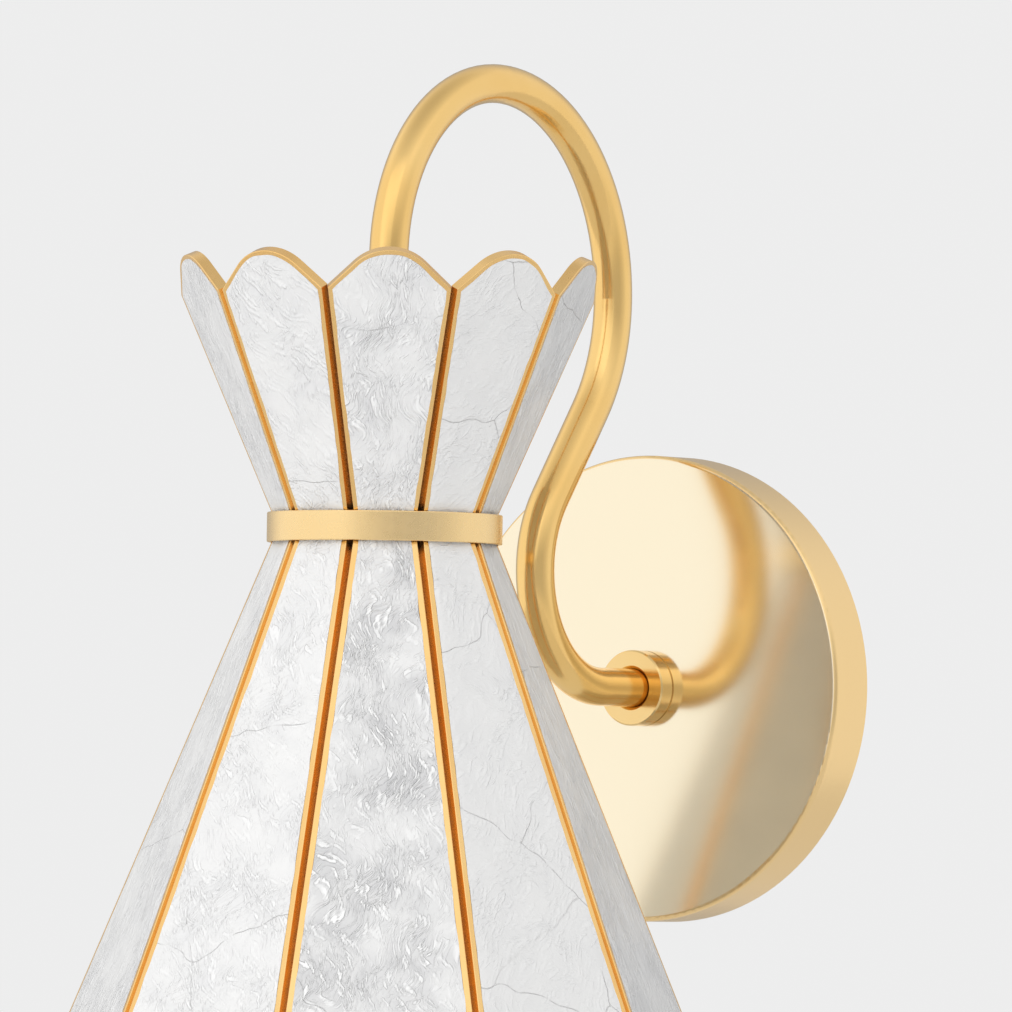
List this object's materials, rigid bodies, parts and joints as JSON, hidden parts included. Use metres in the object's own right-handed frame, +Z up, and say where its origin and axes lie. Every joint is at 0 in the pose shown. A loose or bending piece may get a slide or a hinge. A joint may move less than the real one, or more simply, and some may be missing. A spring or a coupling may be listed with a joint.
{
  "type": "wall sconce",
  "caption": "Brass wall sconce: a pinched faceted shade of framed shell sheets hanging from a gooseneck arm on a round backplate",
  "frame": {"origin": "centre of the backplate on the wall plane, which is also the centre of the bracket's slots", "axes": "+Z up, +Y into the wall, the lamp stands out from the wall towards -Y, +X to the right seen from the room"},
  "size_m": [0.1942, 0.2291, 0.2943],
  "materials": {
    "polished_brass": "polished to a mirror, rim satin",
    "satin_brass": "fine satin",
    "frame_brass": "satin, soft edges",
    "shell": "translucent pearly shell sheet",
    "zinc_steel": "zinc plated",
    "green_screw": "green dip",
    "socket_brass": "plain, thin drawn sheet",
    "porcelain": "glazed porcelain",
    "wire": "insulated lead",
    "connector": "moulded plastic",
    "bulb_glass": "frosted glass",
    "bulb_cap": "rolled thread"
  },
  "bodies": {
    "sconce": {"backplate": "polished_brass", "wall_bracket": "zinc_steel", "plate_screws": "zinc_steel", "ground_screw": "green_screw", "arm_boss": "polished_brass", "arm": "satin_brass", "arm_washer": "zinc_steel", "arm_lock_nut": "satin_brass", "lamp_wires": "wire", "wire_connectors": "connector", "waist_band": "satin_brass", "waist_spider": "satin_brass", "tube_nuts": "satin_brass", "socket_cup": "socket_brass", "socket_insulator": "porcelain", "screw_shell": "socket_brass", "centre_contact": "socket_brass", "terminal_screws": "socket_brass", "crown_frame_01": "frame_brass", "crown_frame_02": "frame_brass", "crown_frame_03": "frame_brass", "crown_frame_04": "frame_brass", "crown_frame_05": "frame_brass", "crown_frame_06": "frame_brass", "crown_frame_07": "frame_brass", "crown_frame_08": "frame_brass", "crown_frame_09": "frame_brass", "crown_frame_10": "frame_brass", "crown_shell_01": "shell", "crown_shell_02": "shell", "crown_shell_03": "shell", "crown_shell_04": "shell", "crown_shell_05": "shell", "crown_shell_06": "shell", "crown_shell_07": "shell", "crown_shell_08": "shell", "crown_shell_09": "shell", "crown_shell_10": "shell", "skirt_frame_01": "frame_brass", "skirt_frame_02": "frame_brass", "skirt_frame_03": "frame_brass", "skirt_frame_04": "frame_brass", "skirt_frame_05": "frame_brass", "skirt_frame_06": "frame_brass", "skirt_frame_07": "frame_brass", "skirt_frame_08": "frame_brass", "skirt_frame_09": "frame_brass", "skirt_frame_10": "frame_brass", "skirt_shell_01": "shell", "skirt_shell_02": "shell", "skirt_shell_03": "shell", "skirt_shell_04": "shell", "skirt_shell_05": "shell", "skirt_shell_06": "shell", "skirt_shell_07": "shell", "skirt_shell_08": "shell", "skirt_shell_09": "shell", "skirt_shell_10": "shell"},
    "lamp": {"bulb_glass": "bulb_glass", "bulb_base": "bulb_cap"}
  },
  "joints": [
    {"name": "lamp_unscrew", "type": "slide", "parent": "sconce", "child": "lamp", "axis": [0, 0, -1], "range_m": [0, 0.025]}
  ]
}
